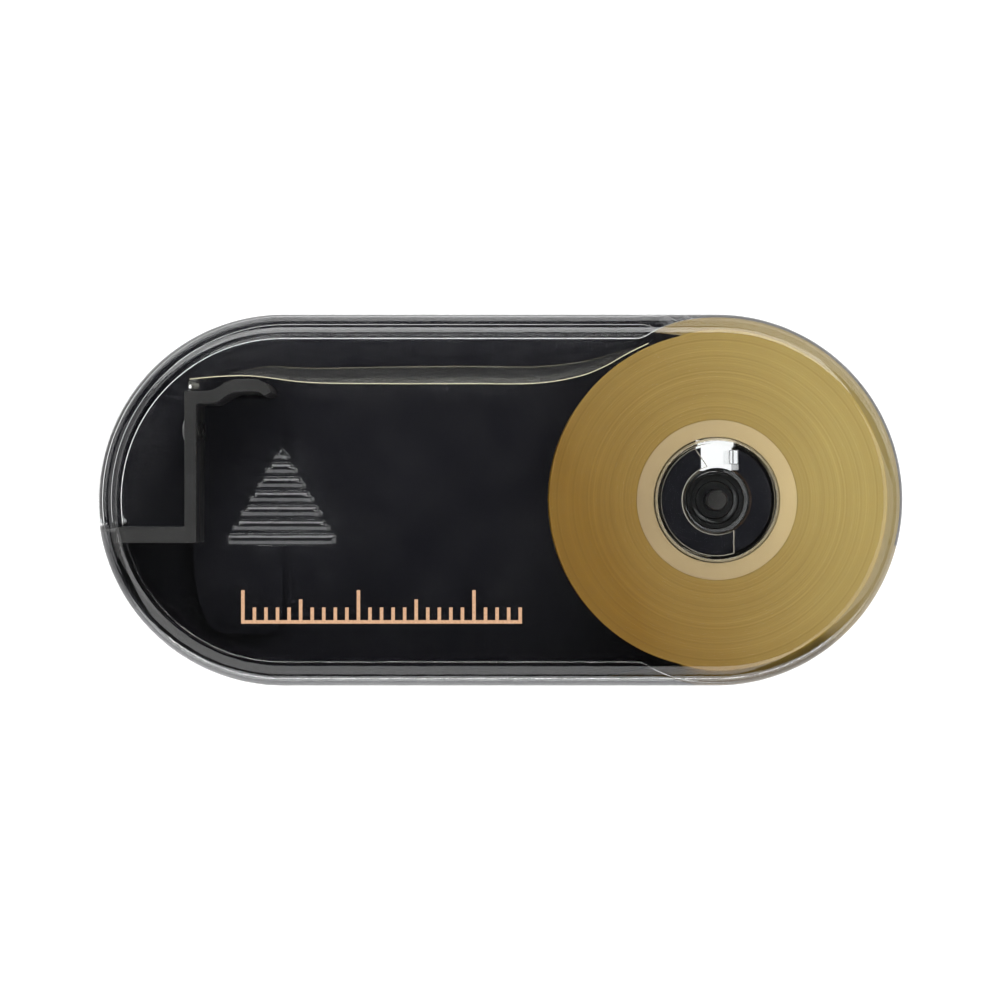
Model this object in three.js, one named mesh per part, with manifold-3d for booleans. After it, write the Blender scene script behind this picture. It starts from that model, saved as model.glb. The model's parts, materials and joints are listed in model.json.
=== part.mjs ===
// A pocket tape dispenser: black rear shell, clear cover that swings up about the roll's axis,
// a small tape roll on a slotted hub, and a serrated blade in a notch at the far end.
// Millimetres. The case lies on its back: X along the case (roll at +X), Y across it, Z up to the clear front.

import * as THREE from 'three';
import { mergeVertices } from 'three/addons/utils/BufferGeometryUtils.js';
import Module from 'manifold-3d';

const wasm = await Module();
wasm.setup();

// Driving dimensions of the case
const CASE_LENGTH = 70.0;
const CASE_WIDTH = 32.3;
const CASE_DEPTH = 17.0;
const END_R = CASE_WIDTH / 2;
const END_X = CASE_LENGTH / 2 - END_R;
const HUB_X = END_X;
const GAP = 0.3;

// Heights of the stack, from the back face up
const PLATE_TOP = 1.4;
const RIB_HEIGHT = 0.35;
const FACE_TOP = CASE_DEPTH - RIB_HEIGHT;
const FACE_THICKNESS = 1.6;
const FACE_EDGE = 2.0;
const FACE_UNDER = FACE_TOP - FACE_THICKNESS;
const WALL_TOP = FACE_UNDER - GAP;
const TAPE_WIDTH = 12.0;
const TAPE_BOTTOM = 2.45;
const TAPE_TOP = TAPE_BOTTOM + TAPE_WIDTH;

// Walls and how they meet
const BASE_WALL = 1.2;
const COVER_WALL = 2.1;
const WALL_AT_ROLL = 0.6;
const SEAM_Y = -2.6;
const COVER_SWING_DEG = 34;
const COVER_WALL_END_DEG = -14.4;
const LIP_INNER_R = 14.8;
const LIP_OUTER_R = 15.2;
const LIP_TOP = 8.0;

// Roll, core and hub radii
const ROLL_R = 14.6;
const CORE_R = 6.95;
const CORE_BORE_R = 5.5;
const COLLAR_R = 5.4;
const COLLAR_BORE_R = 4.95;
const HUB_R = 4.75;
const HUB_BORE_R = 3.0;
const SLOT_LEFT = -1.35;
const SLOT_RIGHT = 1.87;
const SLOT_TOP = 5.35;
const STOP_FACE = 1.05;
const KEY_END = 1.5;

// Cutter notch
const NOTCH_X = -27.4;
const NOTCH_WALL = 1.05;
const FLANGE_LEFT = -33.2;
const FLANGE_TOP = -2.34;
const FLANGE_BOTTOM = -3.73;
const PLATFORM_Y = 9.47;
const BLADE_X = -27.05;
const BLADE_THICKNESS = 0.25;
const BLADE_TIP_Y = 10.35;
const BLADE_FOOT_Y = 4.2;
const TOOTH_COUNT = 12;
const TOOTH_HEIGHT = 0.75;
const RIVET_Y = 6.1;
const RIVET_HEIGHTS = [5.0, 12.0];

// Screws: place, shank radius, head radius, length
const FRAME_SCREWS = [['frame_screw_upper', -21.8, 5.98], ['frame_screw_lower', -21.5, -9.84]];
const HUB_SCREWS = [['hub_screw_left', HUB_X - 3.87, 0], ['hub_screw_right', HUB_X + 3.87, 0]];
const FRAME_SCREW = { shank: 0.7, head: 1.4, headHeight: 0.6, length: 2.5 };
const HUB_SCREW = { shank: 0.5, head: 0.95, headHeight: 0.5, length: 6.0 };
const PIVOT_SCREW = { shank: 0.87, head: 1.9, headHeight: 0.6, length: 14.1 };
const SCREW_PLAY = 0.08;
const HEAD_RECESS = 0.12;
const PIVOT_SEAT = 0.95;

const ARC_SEGMENTS = 14;
const CURVE_SEGMENTS = 6;
const ROUND_SEGMENTS = 48;
const SMALL_SEGMENTS = 20;

// ---------- Materials ----------

function material(hex, roughness, metalness = 0, opacity = 1) {
  return new THREE.MeshStandardMaterial({
    color: hex, roughness, metalness, opacity, transparent: opacity < 1,
  });
}

const blackPlastic = material(0x16161a, 0.45);
const clearPlastic = material(0xf2f4f5, 0.05, 0, 0.25);
const steel = material(0xc4c6c8, 0.25, 1);
const darkSteel = material(0x55565a, 0.35, 1);
const tapeGold = material(0xa8894a, 0.35);
const tapeClear = material(0xcfc6a4, 0.15, 0, 0.5);
const corePlastic = material(0xccb586, 0.6);
const nylon = material(0xe6e4dc, 0.5);
const rubber = material(0x101012, 0.7);
const copperInk = material(0xc49573, 0.4, 0.6);

// ---------- Solids ----------

function solid(geometry) {
  const bare = geometry.clone();
  bare.deleteAttribute('normal');
  bare.deleteAttribute('uv');
  const merged = mergeVertices(bare, 1e-5);
  return new wasm.Manifold(new wasm.Mesh({
    numProp: 3,
    vertProperties: new Float32Array(merged.attributes.position.array),
    triVerts: new Uint32Array(merged.index.array),
  }));
}

function geometryOf(body) {
  const mesh = body.getMesh();
  const geometry = new THREE.BufferGeometry();
  geometry.setAttribute('position', new THREE.BufferAttribute(mesh.vertProperties, 3));
  geometry.setIndex(new THREE.BufferAttribute(mesh.triVerts, 1));
  geometry.computeVertexNormals();
  return geometry;
}

function unite(bodies) {
  return bodies.reduce((whole, body) => whole.add(body));
}

function part(name, body, look) {
  const mesh = new THREE.Mesh(geometryOf(body), look);
  mesh.name = name;
  return mesh;
}

// An outline drawn in XY, raised from one height to another.
function raised(shape, bottom, top, curveSegments = ARC_SEGMENTS) {
  const geometry = new THREE.ExtrudeGeometry(shape, {
    depth: top - bottom, bevelEnabled: false, curveSegments,
  });
  return solid(geometry.translate(0, 0, bottom));
}

// The same with its upper and lower edges rounded; the outline is the widest section.
function raisedRound(shapeInset, round, bottom, top, segments) {
  const geometry = new THREE.ExtrudeGeometry(shapeInset, {
    depth: top - bottom - 2 * round,
    bevelThickness: round,
    bevelSize: round,
    bevelSegments: segments,
    curveSegments: ARC_SEGMENTS,
  });
  return solid(geometry.translate(0, 0, bottom + round));
}

function polygon(points) {
  return new THREE.Shape(points.map(([x, y]) => new THREE.Vector2(x, y)));
}

function stadium(radius) {
  const shape = new THREE.Shape();
  shape.moveTo(-END_X, -radius);
  shape.lineTo(END_X, -radius);
  shape.absarc(END_X, 0, radius, -Math.PI / 2, Math.PI / 2, false);
  shape.lineTo(-END_X, radius);
  shape.absarc(-END_X, 0, radius, Math.PI / 2, 1.5 * Math.PI, false);
  return shape;
}

function box(minX, maxX, minY, maxY, minZ, maxZ) {
  const geometry = new THREE.BoxGeometry(maxX - minX, maxY - minY, maxZ - minZ);
  return solid(geometry.translate((minX + maxX) / 2, (minY + maxY) / 2, (minZ + maxZ) / 2));
}

// A profile of [radius, height] points turned about a vertical axis at x, y.
function turned(profile, x, y, segments = ROUND_SEGMENTS) {
  const points = profile.map(([radius, height]) => new THREE.Vector2(radius, height));
  const lathe = new THREE.LatheGeometry(points, segments);
  return solid(lathe.rotateX(Math.PI / 2).translate(x, y, 0));
}

function disc(x, y, radius, bottom, top) {
  const segments = radius < 3 ? SMALL_SEGMENTS : ROUND_SEGMENTS;
  return turned([[0, bottom], [radius, bottom], [radius, top], [0, top]], x, y, segments);
}

function ring(x, y, inner, outer, bottom, top) {
  const segments = outer < 3 ? SMALL_SEGMENTS : ROUND_SEGMENTS;
  return turned([[inner, bottom], [outer, bottom], [outer, top], [inner, top], [inner, bottom]], x, y, segments);
}

// A wedge of the plane seen from the hub, between two angles in degrees, counter-clockwise.
function hubWedge(fromDeg, toDeg, bottom, top) {
  const reach = 120;
  const count = 6;
  const points = [[HUB_X, 0]];
  for (let i = 0; i <= count; i += 1) {
    const angle = THREE.MathUtils.degToRad(fromDeg + ((toDeg - fromDeg) * i) / count);
    points.push([HUB_X + reach * Math.cos(angle), reach * Math.sin(angle)]);
  }
  return raised(polygon(points), bottom, top);
}

function onHub(points) {
  return points.map(([x, y]) => [HUB_X + x, y]);
}

// ---------- Rear shell ----------

// The lower side wall, from the seam at the notch end round to where the cover's wall stops when open.
function baseWall() {
  const outer = raised(stadium(END_R), PLATE_TOP - 0.2, WALL_TOP);
  const inner = unite([
    raised(stadium(END_R - BASE_WALL), PLATE_TOP - 0.4, WALL_TOP + 1),
    disc(HUB_X, 0, END_R - WALL_AT_ROLL, PLATE_TOP - 0.4, WALL_TOP + 1),
  ]);
  const clearOfCover = COVER_WALL_END_DEG - COVER_SWING_DEG - 1;
  const angle = THREE.MathUtils.degToRad(clearOfCover);
  const reach = 60;
  const keep = polygon([
    [-50, SEAM_Y], [HUB_X - 8, SEAM_Y], [HUB_X, 0],
    [HUB_X + reach * Math.cos(angle), reach * Math.sin(angle)], [-50, -reach],
  ]);
  return outer.subtract(inner).intersect(raised(keep, 0, CASE_DEPTH));
}

// The thin lip that closes the corner which the cover's wall sweeps through.
function sweepLip() {
  const lip = ring(HUB_X, 0, LIP_INNER_R, LIP_OUTER_R, PLATE_TOP - 0.2, LIP_TOP);
  const from = COVER_WALL_END_DEG - COVER_SWING_DEG - 4;
  return lip.intersect(hubWedge(from, COVER_WALL_END_DEG - 1, 0, CASE_DEPTH));
}

function slotOutline(left, right, bottom, top) {
  return polygon(onHub([[left, bottom], [right, bottom], [right, top], [left, top]]));
}

function rearShell() {
  const edgeRound = 0.6;
  const lowerHalf = raisedRound(stadium(END_R - edgeRound), edgeRound, 0, 2 * PLATE_TOP, 3);
  const plate = lowerHalf.intersect(box(-50, 50, -50, 50, -1, PLATE_TOP));
  const washerSeat = ring(HUB_X, 0, COLLAR_R + 0.2, 8.0, PLATE_TOP - 0.1, 2.0);
  let shell = unite([plate, baseWall(), sweepLip(), washerSeat]);
  shell = shell.subtract(raised(slotOutline(SLOT_LEFT, SLOT_RIGHT, 2.6, SLOT_TOP), -1, PLATE_TOP + 1));
  shell = shell.subtract(disc(HUB_X, 0, PIVOT_SCREW.shank + SCREW_PLAY, -1, 3));
  shell = shell.subtract(disc(HUB_X, 0, PIVOT_SCREW.head + 0.35, -1, PIVOT_SEAT));
  shell = shell.subtract(screwHoles(FRAME_SCREWS, FRAME_SCREW, 3));
  return shell.subtract(screwHoles(HUB_SCREWS, HUB_SCREW, 3));
}

// ---------- Screws ----------

function screwHoles(places, size, top) {
  const headTop = HEAD_RECESS + size.headHeight + 0.03;
  return unite(places.flatMap(([, x, y]) => [
    disc(x, y, size.shank + SCREW_PLAY, -1, top),
    disc(x, y, size.head + 0.1, -1, headTop),
  ]));
}

function screw(name, x, y, size) {
  const crown = 0.15;
  const bottom = HEAD_RECESS;
  const neck = bottom + size.headHeight;
  const tip = bottom + size.length;
  const profile = [
    [0, bottom], [size.head - crown, bottom], [size.head, bottom + crown], [size.head, neck],
    [size.shank, neck], [size.shank, tip - crown], [size.shank - crown, tip], [0, tip],
  ];
  const slotHalf = size.head * 0.14;
  const slotReach = size.head * 0.62;
  const depth = bottom + size.headHeight * 0.5;
  const cross = unite([
    box(x - slotReach, x + slotReach, y - slotHalf, y + slotHalf, -1, depth),
    box(x - slotHalf, x + slotHalf, y - slotReach, y + slotReach, -1, depth),
  ]);
  return part(name, turned(profile, x, y, SMALL_SEGMENTS).subtract(cross), darkSteel);
}

// ---------- Cutter ----------

// Side view of the notch wall, its flange and the platform with the guide hump.
function cutterFrameOutline() {
  const inner = NOTCH_X + NOTCH_WALL;
  const shape = new THREE.Shape();
  shape.moveTo(FLANGE_LEFT, FLANGE_BOTTOM);
  shape.lineTo(inner, FLANGE_BOTTOM);
  shape.lineTo(inner, PLATFORM_Y - 1.3);
  shape.quadraticCurveTo(inner, PLATFORM_Y - 1.1, inner + 0.2, PLATFORM_Y - 1.1);
  shape.lineTo(-25.2, PLATFORM_Y - 1.1);
  shape.bezierCurveTo(-24.0, PLATFORM_Y - 1.1, -23.9, 9.4, -22.6, 9.4);
  shape.lineTo(-21.4, 9.4);
  shape.quadraticCurveTo(-20.8, 9.4, -20.5, 9.0);
  shape.lineTo(-19.85, 9.35);
  shape.bezierCurveTo(-20.1, 10.2, -20.7, 10.5, -21.7, 10.5);
  shape.lineTo(-22.6, 10.5);
  shape.bezierCurveTo(-24.2, 10.5, -24.3, PLATFORM_Y, -25.6, PLATFORM_Y);
  shape.lineTo(NOTCH_X, PLATFORM_Y);
  shape.lineTo(NOTCH_X, FLANGE_TOP);
  shape.lineTo(FLANGE_LEFT, FLANGE_TOP);
  return shape;
}

function footOutline() {
  const corner = 1.5;
  const [left, right, bottom, top] = [NOTCH_X, -19.4, -11.9, 9.0];
  const shape = new THREE.Shape();
  shape.moveTo(left + 2 * corner, bottom);
  shape.lineTo(right - corner, bottom);
  shape.quadraticCurveTo(right, bottom, right, bottom + corner);
  shape.lineTo(right, top - corner);
  shape.quadraticCurveTo(right, top, right - corner, top);
  shape.lineTo(left, top);
  shape.lineTo(left, FLANGE_BOTTOM);
  shape.quadraticCurveTo(left + 0.2, bottom + corner, left + 2 * corner, bottom);
  return shape;
}

function cutterFrame() {
  const footBottom = PLATE_TOP + 0.05;
  const footTop = footBottom + 1.6;
  const bossTop = footTop + 0.04;
  const boreTop = footTop - 0.3;
  const wall = raised(cutterFrameOutline(), footBottom, WALL_TOP, CURVE_SEGMENTS);
  const foot = raised(footOutline(), footBottom, footTop, CURVE_SEGMENTS);
  const bosses = FRAME_SCREWS.map(([, x, y]) => disc(x, y, 1.9, footBottom, bossTop));
  const bladeSlot = box(BLADE_X - 0.07, BLADE_X + BLADE_THICKNESS + 0.07,
    BLADE_FOOT_Y - 0.1, PLATFORM_Y + 1, TAPE_BOTTOM - 0.1, TAPE_TOP + 0.1);
  let frame = unite([wall, foot, ...bosses]).subtract(bladeSlot);
  frame = frame.subtract(unite(FRAME_SCREWS.map(([, x, y]) => (
    disc(x, y, FRAME_SCREW.shank + SCREW_PLAY, 0, boreTop)))));
  return frame.subtract(unite(RIVET_HEIGHTS.map((height) => crossPin(0.5, NOTCH_X - 1, NOTCH_X + 2, height))));
}

// A plain pin along X at the rivet line.
function crossPin(radius, fromX, toX, height) {
  const pin = new THREE.CylinderGeometry(radius, radius, toX - fromX, SMALL_SEGMENTS);
  return solid(pin.rotateZ(Math.PI / 2).translate((fromX + toX) / 2, RIVET_Y, height));
}

// Serrated strip: drawn with its width along the shape's x, then stood so that width runs along Z.
function cutterBlade() {
  const shape = new THREE.Shape();
  const pitch = TAPE_WIDTH / TOOTH_COUNT;
  const root = BLADE_TIP_Y - TOOTH_HEIGHT;
  shape.moveTo(0, BLADE_FOOT_Y);
  shape.lineTo(TAPE_WIDTH, BLADE_FOOT_Y);
  shape.lineTo(TAPE_WIDTH, root);
  for (let tooth = TOOTH_COUNT - 1; tooth >= 0; tooth -= 1) {
    shape.lineTo((tooth + 0.5) * pitch, BLADE_TIP_Y);
    shape.lineTo(tooth * pitch, root);
  }
  const strip = new THREE.ExtrudeGeometry(shape, { depth: BLADE_THICKNESS, bevelEnabled: false });
  strip.rotateY(-Math.PI / 2).translate(BLADE_X + BLADE_THICKNESS, 0, TAPE_BOTTOM);
  const holes = RIVET_HEIGHTS.map((height) => crossPin(0.5, BLADE_X - 1, BLADE_X + 1, height));
  return part('cutter_blade', solid(strip).subtract(unite(holes)), steel);
}

function bladeRivet(name, height) {
  const clear = 0.03;
  const profile = [
    [0, NOTCH_X - 0.32], [0.6, NOTCH_X - 0.3], [0.95, NOTCH_X - 0.15], [1.0, NOTCH_X - clear],
    [0.45, NOTCH_X - clear], [0.45, NOTCH_X + NOTCH_WALL + clear], [0.75, NOTCH_X + NOTCH_WALL + clear],
    [0.7, NOTCH_X + NOTCH_WALL + 0.2], [0, NOTCH_X + NOTCH_WALL + 0.25],
  ];
  const points = profile.map(([radius, x]) => new THREE.Vector2(radius, x));
  const lathe = new THREE.LatheGeometry(points, SMALL_SEGMENTS);
  return part(name, solid(lathe.rotateZ(-Math.PI / 2).translate(0, RIVET_Y, height)), darkSteel);
}

// ---------- Hub ----------

const HUB_LOW_TOP = 13.0;
const HUB_HIGH_TOP = 14.2;
const WEB_BOTTOM = 14.5;
const COLLAR_TOP = FACE_UNDER - 0.05;
const HUB_BASE = PLATE_TOP + 0.05;
const HUB_FLOOR = 3.2;
const POST_TIP = 6.0;
const FAR = 10;

function spoolHub() {
  const sleeve = ring(HUB_X, 0, HUB_BORE_R, HUB_R, HUB_BASE, HUB_LOW_TOP);
  const floor = disc(HUB_X, 0, HUB_R - 0.5, HUB_BASE, HUB_FLOOR);
  const raisedHalf = ring(HUB_X, 0, HUB_BORE_R, HUB_R, HUB_LOW_TOP - 0.5, HUB_HIGH_TOP)
    .intersect(raised(slotOutline(KEY_END + 0.1, FAR, -FAR, FAR), 0, CASE_DEPTH));
  let hub = unite([sleeve, floor, raisedHalf]);
  hub = hub.subtract(raised(slotOutline(SLOT_LEFT, SLOT_RIGHT, 2.6, FAR), 0, CASE_DEPTH));
  hub = hub.subtract(disc(HUB_X, 0, PIVOT_SCREW.shank + SCREW_PLAY, 0, CASE_DEPTH));
  return hub.subtract(unite(HUB_SCREWS.map(([, x, y]) => (
    disc(x, y, HUB_SCREW.shank + SCREW_PLAY, 0, HUB_SCREW.length + 1)))));
}

// A small block against the right side of the hub slot.
function stopPad() {
  const block = raised(slotOutline(STOP_FACE, SLOT_RIGHT - 0.03, 3.1, 4.35), PLATE_TOP + 1, HUB_HIGH_TOP);
  return part('stop_pad', block, clearPlastic);
}

// The cover's key runs from beside the slot, round the far side, to six o'clock. Its leading end is the
// stop pad's face turned back by the cover's swing, so the two meet face to face at full opening.
function keyRegion() {
  const angle = THREE.MathUtils.degToRad(COVER_SWING_DEG);
  const lead = STOP_FACE - 0.1;
  const back = ([x, y]) => [
    x * Math.cos(angle) - y * Math.sin(angle),
    x * Math.sin(angle) + y * Math.cos(angle),
  ];
  const points = [[KEY_END, -FAR], [KEY_END, -1], back([lead, 1]), back([lead, FAR]), [-FAR, FAR], [-FAR, -FAR]];
  return raised(polygon(onHub(points)), 0, CASE_DEPTH);
}

function hubCollar() {
  const postBore = PIVOT_SCREW.shank + SCREW_PLAY;
  const body = turned([
    [0, WEB_BOTTOM - 0.15], [postBore, WEB_BOTTOM - 0.15], [postBore, POST_TIP], [1.65, POST_TIP],
    [2.8, WEB_BOTTOM], [COLLAR_BORE_R, WEB_BOTTOM], [COLLAR_BORE_R, 3.6], [COLLAR_R, 3.6],
    [COLLAR_R, COLLAR_TOP], [0, COLLAR_TOP],
  ], HUB_X, 0);
  const key = ring(HUB_X, 0, HUB_BORE_R, COLLAR_BORE_R + 0.1, HUB_LOW_TOP + 0.2, WEB_BOTTOM + 0.1)
    .intersect(keyRegion());
  return part('hub_collar', body.add(key), clearPlastic);
}

// ---------- Cover ----------

// Deep wall over the notch, along the top and round the roll end.
function coverWall() {
  const outer = coverForm().intersect(box(-50, 50, -50, 50, PLATE_TOP + GAP, FACE_UNDER + 0.5));
  const inner = unite([
    raised(stadium(END_R - COVER_WALL), 0, FACE_UNDER + 1),
    disc(HUB_X, 0, END_R - WALL_AT_ROLL, 0, FACE_UNDER + 1),
    box(FLANGE_LEFT - GAP, NOTCH_X, SEAM_Y - 1, FLANGE_TOP + GAP, 0, FACE_UNDER),
  ]);
  const angle = THREE.MathUtils.degToRad(COVER_WALL_END_DEG);
  const reach = 60;
  const keep = polygon([
    [-50, SEAM_Y + GAP], [HUB_X - 8, SEAM_Y + GAP], [HUB_X, 0],
    [HUB_X + reach * Math.cos(angle), reach * Math.sin(angle)], [HUB_X + reach, reach], [-50, reach],
  ]);
  return outer.subtract(inner).intersect(raised(keep, 0, CASE_DEPTH));
}

// The cover's outer shape, with its rounded front edge.
function coverForm() {
  return raisedRound(stadium(END_R - FACE_EDGE), FACE_EDGE, -2 * FACE_EDGE, FACE_TOP, 5);
}

function coverFace() {
  return coverForm().intersect(box(-50, 50, -50, 50, FACE_UNDER, CASE_DEPTH + 1));
}

// Thumb ribs: a triangle of raised bars that grow longer towards the case's lower side.
function thumbRibs() {
  const count = 7;
  const pitch = 1.235;
  const topY = 3.98;
  const centreX = -END_X - 0.1;
  const height = 0.75;
  const round = 0.16;
  const growth = 1.42;
  const longest = 9.5;
  const ribs = [];
  for (let i = 0; i < count; i += 1) {
    const halfLow = Math.min(1.5 + growth * i, longest) / 2 - round;
    const taper = i === count - 1 ? 0 : 0.35;
    const y = topY - pitch * i;
    const bar = polygon([
      [centreX - halfLow, y - height / 2], [centreX + halfLow, y - height / 2],
      [centreX + halfLow - taper, y + height / 2], [centreX - halfLow + taper, y + height / 2],
    ]);
    ribs.push(raisedRound(bar, round, FACE_TOP - RIB_HEIGHT, CASE_DEPTH, 2));
  }
  return unite(ribs);
}

// A thin printed millimetre scale on the cover: a base line with a tick at each millimetre.
function measureScale() {
  const ink = 0.06;
  const lineWidth = 0.3;
  const [left, baseY, length] = [-22.4, -10.4, 24];
  const outline = [[left + length + lineWidth, baseY - lineWidth], [left, baseY - lineWidth]];
  for (let tick = 0; tick <= length; tick += 1) {
    let height = 1.1;
    if (tick % 5 === 0) height = 1.8;
    if (tick % 10 === 0) height = 2.6;
    const x = left + tick;
    outline.push([x, baseY], [x, baseY + height], [x + lineWidth, baseY + height], [x + lineWidth, baseY]);
  }
  return part('measure_scale', raised(polygon(outline), FACE_TOP, FACE_TOP + ink), copperInk);
}

function frontCover() {
  return part('front_cover', unite([coverFace(), coverWall(), thumbRibs()]), clearPlastic);
}

// ---------- Tape ----------

// The free tape between roll and blade: a thin strip that lifts towards its rear edge in the middle.
function tapeLeader() {
  const frontEdge = new THREE.CatmullRomCurve3([
    [-26.95, 10.45], [-24.6, 10.66], [-22.2, 10.74], [-20.4, 10.6], [-16.5, 10.15], [-10.5, 10.05],
    [-3, 10.05], [3, 10.08], [6.7, 10.65], [9.0, 11.5], [11.0, 12.62], [12.9, 13.56],
  ].map(([x, y]) => new THREE.Vector3(x, y, 0)), false, 'centripetal');
  const lift = 1.8;
  const steps = 32;
  const thickness = 0.12;
  const strip = new THREE.BoxGeometry(1, 1, 1, steps, 1, 4);
  const position = strip.attributes.position;
  for (let i = 0; i < position.count; i += 1) {
    const along = position.getX(i) + 0.5;
    const across = position.getZ(i) + 0.5;
    const point = frontEdge.getPoint(along);
    const rise = lift * Math.sin(Math.PI * along ** 1.15) ** 0.9 * (1 - across);
    position.setXYZ(i, point.x, point.y + rise + thickness * (position.getY(i) + 0.5),
      TAPE_BOTTOM + TAPE_WIDTH * across);
  }
  return part('tape_leader', solid(strip), tapeClear);
}

// ---------- Assembly ----------

const dispenser = new THREE.Group();
dispenser.add(part('rear_shell', rearShell(), blackPlastic));
dispenser.add(part('cutter_frame', cutterFrame(), blackPlastic));
dispenser.add(cutterBlade());
dispenser.add(bladeRivet('blade_rivet_rear', RIVET_HEIGHTS[0]));
dispenser.add(bladeRivet('blade_rivet_front', RIVET_HEIGHTS[1]));
for (const [name, x, y] of FRAME_SCREWS) dispenser.add(screw(name, x, y, FRAME_SCREW));
for (const [name, x, y] of HUB_SCREWS) dispenser.add(screw(name, x, y, HUB_SCREW));
dispenser.add(screw('pivot_screw', HUB_X, 0, PIVOT_SCREW));
dispenser.add(part('pivot_washer', ring(HUB_X, 0, 1.0, 2.15, 0.74, 0.93), steel));
dispenser.add(part('spool_hub', spoolHub(), blackPlastic));
dispenser.add(stopPad());
dispenser.add(part('friction_bush', ring(HUB_X, 0, 0.97, 1.6, HUB_FLOOR + 0.03, POST_TIP - 0.03), rubber));
dispenser.add(part('slip_washer', ring(HUB_X, 0, COLLAR_R + 0.3, 7.5, 2.05, 2.35), nylon));
dispenser.add(hubCollar());
dispenser.add(frontCover());
dispenser.add(measureScale());
dispenser.add(part('tape_core', ring(HUB_X, 0, CORE_BORE_R, CORE_R, TAPE_BOTTOM, TAPE_TOP), corePlastic));
dispenser.add(part('tape_roll', ring(HUB_X, 0, CORE_R + 0.02, ROLL_R, TAPE_BOTTOM, TAPE_TOP), tapeGold));
dispenser.add(tapeLeader());

export default dispenser;
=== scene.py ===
# Looks of the pocket tape dispenser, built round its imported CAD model. Shapes are worked out in millimetres,
# in the model's frame (X along the case with the roll at +X, Z up to the clear front), and stored in metres.
import json
import math
import random

import bmesh
import bpy
from mathutils import Matrix, Vector

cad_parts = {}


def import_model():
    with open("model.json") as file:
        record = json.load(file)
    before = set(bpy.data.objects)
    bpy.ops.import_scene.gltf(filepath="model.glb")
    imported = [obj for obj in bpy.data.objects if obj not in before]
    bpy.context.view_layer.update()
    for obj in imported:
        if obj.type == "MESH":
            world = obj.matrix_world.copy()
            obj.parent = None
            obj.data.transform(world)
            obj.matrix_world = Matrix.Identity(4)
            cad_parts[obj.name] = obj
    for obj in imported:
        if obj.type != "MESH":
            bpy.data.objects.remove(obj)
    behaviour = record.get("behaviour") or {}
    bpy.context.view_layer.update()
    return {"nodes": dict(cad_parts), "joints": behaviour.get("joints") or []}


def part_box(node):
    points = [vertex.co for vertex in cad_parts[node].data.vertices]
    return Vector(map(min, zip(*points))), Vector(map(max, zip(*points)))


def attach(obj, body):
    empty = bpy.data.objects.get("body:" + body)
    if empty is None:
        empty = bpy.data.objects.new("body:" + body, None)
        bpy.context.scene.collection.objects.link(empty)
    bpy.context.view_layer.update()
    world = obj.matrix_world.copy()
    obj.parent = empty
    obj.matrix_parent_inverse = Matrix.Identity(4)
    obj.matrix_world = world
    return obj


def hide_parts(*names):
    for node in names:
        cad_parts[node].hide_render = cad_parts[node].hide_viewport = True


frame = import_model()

MM = 0.001
SEED = 7


def box_mm(node):
    low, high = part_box(node)
    return Vector(low) / MM, Vector(high) / MM


def middle_of(low, high):
    """Centre of a box in X and Y."""
    return (low.x + high.x) / 2, (low.y + high.y) / 2


# ---------- Dimensions, in millimetres: the frame's boxes, then what lies inside them ----------

shell_low, shell_high = box_mm("rear_shell")
cover_low, cover_high = box_mm("front_cover")
END_R = (shell_high.y - shell_low.y) / 2
END_X = shell_high.x - END_R
HUB_X = frame["joints"][0]["pos_m"][0] / MM
CASE_DEPTH = cover_high.z
SWING_DEG = frame["joints"][0]["range_deg"][1]

RIB_HEIGHT = 0.35
FACE_TOP = CASE_DEPTH - RIB_HEIGHT
FACE_THICKNESS = 1.6
FACE_EDGE = 2.0                  # rounding of the clear front's outer edge
FACE_UNDER = FACE_TOP - FACE_THICKNESS
PLATE_TOP = 1.4
SEAT_TOP = 1.6                   # rim of the back plate, under the cover's wall
WALL_TOP = FACE_UNDER - 0.3
COVER_WALL = 2.1
WALL_AT_ROLL = 0.6
BASE_WALL = 1.2
WALL_END_DEG = 0.9               # a side wall runs out over this angle
SEAM_Y = -2.6                    # where the two side walls meet at the left end
COVER_WALL_END_DEG = -14.4       # and where the cover's wall ends beside the roll
LIP_INNER_R = 14.8
LIP_OUTER_R = 15.2
LIP_TOP = 8.0
SINK = 0.3                       # how far a joined rib or ring reaches into the plate
BELOW = -1                       # cutting shapes start below the part
ABOVE = 30                       # and end above it

roll_low, roll_high = box_mm("tape_roll")
ROLL_R = (roll_high.x - roll_low.x) / 2
core_low, core_high = box_mm("tape_core")
CORE_R = (core_high.x - core_low.x) / 2
CORE_BORE_R = 5.5
collar_low, collar_high = box_mm("hub_collar")
COLLAR_R = (collar_high.x - collar_low.x) / 2
COLLAR_BORE_R = 4.95
hub_low, hub_high = box_mm("spool_hub")
HUB_R = (hub_high.x - hub_low.x) / 2
HUB_BORE_R = 3.0
HUB_LOW_TOP = 13.0               # face of the hub's lower, left half
SLOT_LEFT = -1.35
SLOT_RIGHT = 1.87
SLOT_BOTTOM = 2.6
SLOT_TOP = 5.35
STOP_FACE = 1.05
KEY_END = 1.5
WEB_BOTTOM = 14.5
POST_TIP = collar_low.z + 2.4

cutter_low, cutter_high = box_mm("cutter_frame")
NOTCH_X = -27.4
NOTCH_WALL = 1.05
FLANGE_LEFT = cutter_low.x
FLANGE_TOP = -2.34
FLANGE_BOTTOM = -3.73
PLATFORM_Y = 9.47
blade_low, blade_high = box_mm("cutter_blade")

# Shank radius of each screw.
SHANKS = {"frame_screw_upper": 0.7, "frame_screw_lower": 0.7, "hub_screw_left": 0.5, "hub_screw_right": 0.5,
          "pivot_screw": 0.87}


# ---------- Mesh tools ----------


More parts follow.
